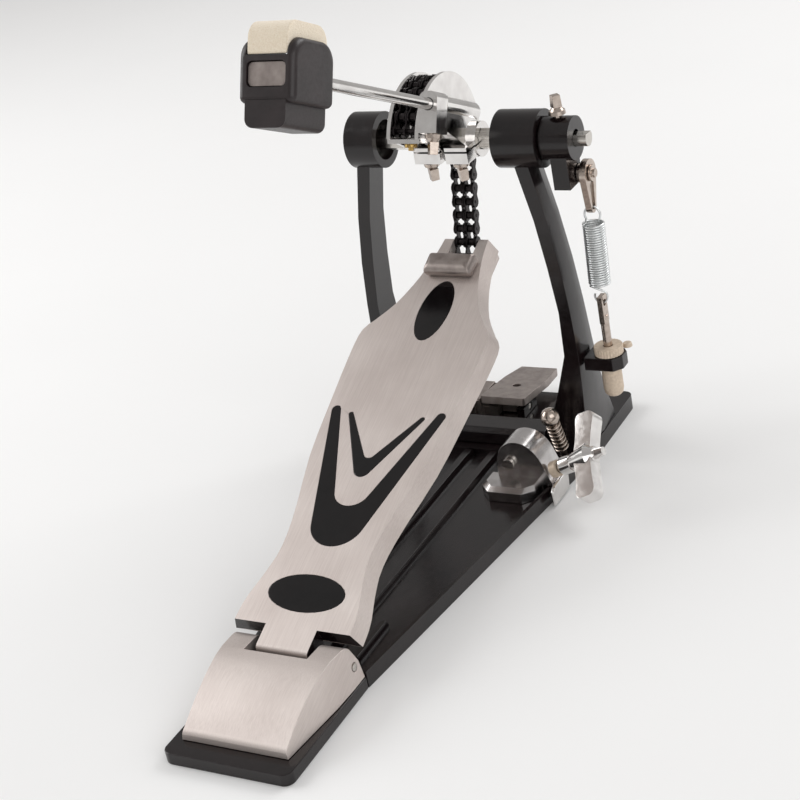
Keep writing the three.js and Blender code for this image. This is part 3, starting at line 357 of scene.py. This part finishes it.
def add_plate(solid, place, x0, x1):
    angles = [math.pi * i / 8 for i in range(9)]
    round_end = [(-math.sin(a) * PLATE_END_R, math.cos(a) * PLATE_END_R) for a in angles]
    outline = round_end + [(PITCH / 2, -PLATE_WAIST)]
    outline += [(PITCH - y, -z) for y, z in round_end] + [(PITCH / 2, PLATE_WAIST)]
    rings = [[solid.verts.new(place @ Vector((x * MM, y * MM, z * MM))) for y, z in outline]
             for x in (x0, x1)]
    solid.faces.new(rings[0])
    solid.faces.new(list(reversed(rings[1])))
    for i in range(len(outline)):
        j = (i + 1) % len(outline)
        solid.faces.new((rings[0][j], rings[0][i], rings[1][i], rings[1][j]))


def add_roller(solid, place, y, x0, x1, r, sides=16):
    angles = [2 * math.pi * i / sides for i in range(sides)]
    profile = ((x0, r - CHAMFER), (x0 + CHAMFER, r), (x1 - CHAMFER, r), (x1, r - CHAMFER))
    rings = [[solid.verts.new(place @ Vector((x * MM, (y + reach * math.cos(a)) * MM,
                                              reach * math.sin(a) * MM))) for a in angles]
             for x, reach in profile]
    solid.faces.new(list(reversed(rings[0])))
    solid.faces.new(rings[-1])
    for low, high in zip(rings, rings[1:]):
        for i in range(sides):
            j = (i + 1) % sides
            solid.faces.new((low[i], low[j], high[j], high[i]))


def chain_piece(node, runs):
    solid = bmesh.new()
    for start, end, outer in runs:
        angle = math.atan2(end[1] - start[1], end[0] - start[0])
        place = Matrix.Translation((0, start[0] * MM, start[1] * MM)) @ Matrix.Rotation(angle, 4, "X")
        for x0, x1 in OUTER_PLATES if outer else INNER_PLATES:
            add_plate(solid, place, x0, x1)
        for y in (0, PITCH):
            if outer:
                add_roller(solid, place, y, -PIN_HALF, PIN_HALF, PIN_R)
            else:
                for x0 in ROLLER_STARTS:
                    add_roller(solid, place, y, x0, x0 + ROLLER_LONG, ROLLER_R)
    bmesh.ops.recalc_face_normals(solid, faces=solid.faces)
    mesh = bpy.data.meshes.new(node)
    solid.to_mesh(mesh)
    solid.free()
    show(node, mesh, blued_steel, crease=40)


# The pins on the cam stand 31 mm from its centre, one pitch apart; the first is where the chain leaves.
SHAFT_HEIGHT = 188
CAM_Y, CAM_Z, WRAP_R = -8.5, SHAFT_HEIGHT + 2.5, 31
LEAVES_AT = math.radians(-13.98)
pin_step = 2 * math.asin(PITCH / 2 / WRAP_R)
on_cam = [LEAVES_AT + i * pin_step for i in range(13)]
pins = [(CAM_Y + WRAP_R * math.cos(a), CAM_Z + WRAP_R * math.sin(a)) for a in on_cam]
for i in range(1, 6):
    chain_piece(f"chain_link_{i}", [(pins[i], pins[i - 1], i % 2 == 0)])
chain_piece("chain_wrapped", [(pins[i], pins[i + 1], i % 2 == 1) for i in range(5, 12)])

# The straight run goes from the first pin toward the toe pin, 256 mm up the board from its hinge and
# 6 mm above its centre line.
TOE_REACH, TOE_RISE = 256, 6
toe_y = HINGE_Y + TOE_REACH * math.cos(board_tilt) - TOE_RISE * math.sin(board_tilt)
toe_z = HINGE_Z + TOE_REACH * math.sin(board_tilt) + TOE_RISE * math.cos(board_tilt)
run_angle = math.atan2(toe_z - pins[0][1], toe_y - pins[0][0])
steps = [(PITCH * i * math.cos(run_angle), PITCH * i * math.sin(run_angle)) for i in range(10)]
hang = [(pins[0][0] + y, pins[0][1] + z) for y, z in steps]
chain_piece("chain_free", [(hang[i], hang[i + 1], i % 2 == 0) for i in range(9)])

# Return spring: hard-drawn music wire, 1.2 mm, wound close in 26 turns with a hook bent at each end.
# The upper hook hangs in the drop link and the lower one holds the eye rod, so it stretches between.
WIRE = 1.2
COIL_R, COIL_TURNS = 5.4, 26
COIL_STARTS, COIL_STOPS = 27, 61
UPPER_HOOK_R, UPPER_HOOK_AT = 4.4, 22.6
LOWER_HOOK_R, LOWER_HOOK_AT = 3.6, 68.1
LEAD_IN, LEAD_IN_AT, LEAD_OUT_AT = 0.8, 26.4, 61.8
pin = Vector((78, 5, 167)) * MM
eye = Vector((78, 0, 96.5)) * MM

# Zinc over wire is pale and bluish, half gloss.
zinc_wire = worked_finish("zinc_plated_spring_wire", ("d2d5d6", "eaecec"), patch_mm=1.2, haze_mm=6,
                          roughness=(0.28, 0.38), bump_mm=5, depth_mm=0.01, strength=0.2, Metallic=1.0)


def wire_mesh(name, points, thickness):
    data = bpy.data.curves.new(name, "CURVE")
    data.dimensions = "3D"
    data.bevel_depth = thickness / 2 * MM
    data.bevel_resolution = 3
    data.use_fill_caps = True
    spline = data.splines.new("POLY")
    spline.points.add(len(points) - 1)
    for target, point in zip(spline.points, points):
        target.co = (*point, 1)
    holder = bpy.data.objects.new(name, data)
    bpy.context.scene.collection.objects.link(holder)
    bpy.context.view_layer.update()
    mesh = bpy.data.meshes.new_from_object(holder)
    bpy.data.objects.remove(holder)
    return mesh


def coil_points(start, end, radius, turns, per_turn=20):
    axis = (end - start).normalized()
    across = axis.orthogonal().normalized()
    third = axis.cross(across)
    count = int(turns * per_turn)
    points = []
    for i in range(count + 1):
        angle = 2 * math.pi * i / per_turn
        outward = across * math.cos(angle) + third * math.sin(angle)
        points.append(start + (end - start) * (i / count) + outward * radius)
    return points


def hook_points(centre_mm, radius_mm, bow, angles):
    radians = [math.radians(a) for a in angles]
    return [pin + down * (centre_mm + bow * radius_mm * math.sin(a)) * MM
            + sideways * radius_mm * math.cos(a) * MM for a in radians]


down = (eye - pin).normalized()
sideways = Vector((1, 0, 0))
coil_top = pin + down * COIL_STARTS * MM
coil_end = pin + down * COIL_STOPS * MM
body_turns = coil_points(coil_top, coil_end, COIL_R * MM, COIL_TURNS)
upper = hook_points(UPPER_HOOK_AT, UPPER_HOOK_R, -1, range(-40, 230, 18))
upper += [pin + down * LEAD_IN_AT * MM + (body_turns[0] - coil_top) * LEAD_IN]
lower = [pin + down * LEAD_OUT_AT * MM + (body_turns[-1] - coil_end) * LEAD_IN]
lower += hook_points(LOWER_HOOK_AT, LOWER_HOOK_R, 1, range(-50, 210, 18))
spring_mesh = wire_mesh("return_spring_wire", upper + body_turns + lower, WIRE)
spring = show("return_spring", spring_mesh, zinc_wire, crease=60, rides=False)
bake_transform(spring)

# Spur springs: seven open turns of 1.3 mm nickel-plated wire round each spur screw. They press on the
# screw's head so that it doesn't shake loose.
SPUR_WIRE, SPUR_COIL_R, SPUR_TURNS = 1.3, 3.7, 7
SPUR_STARTS, SPUR_STOPS = 3.2, 24.2
SPUR_X, SPUR_Y, SPUR_Z = 49, -14, 9
SPUR_LEAN = math.radians(20)
axis = Vector((0, -math.sin(SPUR_LEAN), math.cos(SPUR_LEAN))) * MM
for side, sign in (("right", 1), ("left", -1)):
    foot = Vector((SPUR_X * sign, SPUR_Y, SPUR_Z)) * MM
    wire = coil_points(foot + axis * SPUR_STARTS, foot + axis * SPUR_STOPS, SPUR_COIL_R * MM, SPUR_TURNS)
    spur_mesh = wire_mesh(f"spur_wire_{side}", wire, SPUR_WIRE)
    show(f"spur_spring_{side}", spur_mesh, nickel, crease=60)

# Floor: a table top of pale laminate, resin-soaked paper pressed flat over board and left matt. It is
# part of the stage, not of the pedal.

# Matt laminate is nearly white and even, with a very slow drift of tone and no clear reflection.
floor_finish, tree = new_finish("matt_white_laminate")
place = add(tree, "ShaderNodeTexCoord", {}, out="Object")
drift = add(tree, "ShaderNodeTexNoise", {"Vector": place, "Scale": 1 / (300 * MM), "Detail": 3})
white = add(tree, "ShaderNodeMix", {0: drift, 6: linear("f2f2f2"), 7: linear("f7f7f7")}, out=2,
            data_type="RGBA")
laminate = add(tree, "ShaderNodeBsdfPrincipled", {"Base Color": white, "Roughness": 0.75})
add(tree, "ShaderNodeOutputMaterial", {"Surface": laminate})
sheet = bmesh.new()
bmesh.ops.create_grid(sheet, x_segments=2, y_segments=2, size=6)
floor_mesh = bpy.data.meshes.new("floor")
sheet.to_mesh(floor_mesh)
sheet.free()
floor_mesh.materials.append(floor_finish)
floor = bpy.data.objects.new("floor", floor_mesh)
bpy.context.scene.collection.objects.link(floor)

# Light: a dim, slightly warm room and three soft boxes, to the left, behind the spring side and in
# front, all aimed at the middle of the pedal.
world = bpy.data.worlds.new("studio")
bpy.context.scene.world = world
world.use_nodes = True
world.node_tree.nodes.clear()
room = add(world.node_tree, "ShaderNodeBackground", {"Color": linear("f6f4f2"), "Strength": 0.5})
add(world.node_tree, "ShaderNodeOutputWorld", {"Surface": room})


def softbox(name, place, size, watts):
    data = bpy.data.lights.new(name, "AREA")
    data.shape = "RECTANGLE"
    data.size, data.size_y = size
    data.energy = watts
    light = bpy.data.objects.new(name, data)
    light.location = place
    middle = Vector((0, -0.05, 0.1))
    light.rotation_euler = (middle - Vector(place)).to_track_quat("-Z", "Y").to_euler()
    bpy.context.scene.collection.objects.link(light)


softbox("left_box", (-1.5, -0.3, 0.95), (1.1, 1.3), 16)
softbox("back_box", (0.75, 1.3, 1.25), (1.3, 1.1), 15)
softbox("front_box", (1.3, -1.0, 0.9), (1.6, 1.1), 8)
bpy.context.scene.view_settings.view_transform = "Standard"

# Camera: a long lens above the heel and the spring side, turned toward the pedal and rolled a little,
# so that the pedal stands across the frame from the low left corner to the high right one.
yaw, pitch, roll = (math.radians(degrees) for degrees in (32.31, 26.26, -11.48))
ahead = Vector((-math.sin(yaw) * math.cos(pitch), math.cos(yaw) * math.cos(pitch), -math.sin(pitch)))
level = Vector((math.cos(yaw), math.sin(yaw), 0))
upright = level.cross(ahead)
right = level * math.cos(roll) + upright * math.sin(roll)
top = upright * math.cos(roll) - level * math.sin(roll)
lens = bpy.data.cameras.new("studio_camera")
lens.lens = 78.77
lens.sensor_width = 36
lens.clip_start = 0.05
camera = bpy.data.objects.new("studio_camera", lens)
facing = Matrix((right, top, -ahead)).transposed().to_4x4()
camera.matrix_world = Matrix.Translation((0.43303, -0.77749, 0.48046)) @ facing
bpy.context.scene.collection.objects.link(camera)
bpy.context.scene.camera = camera
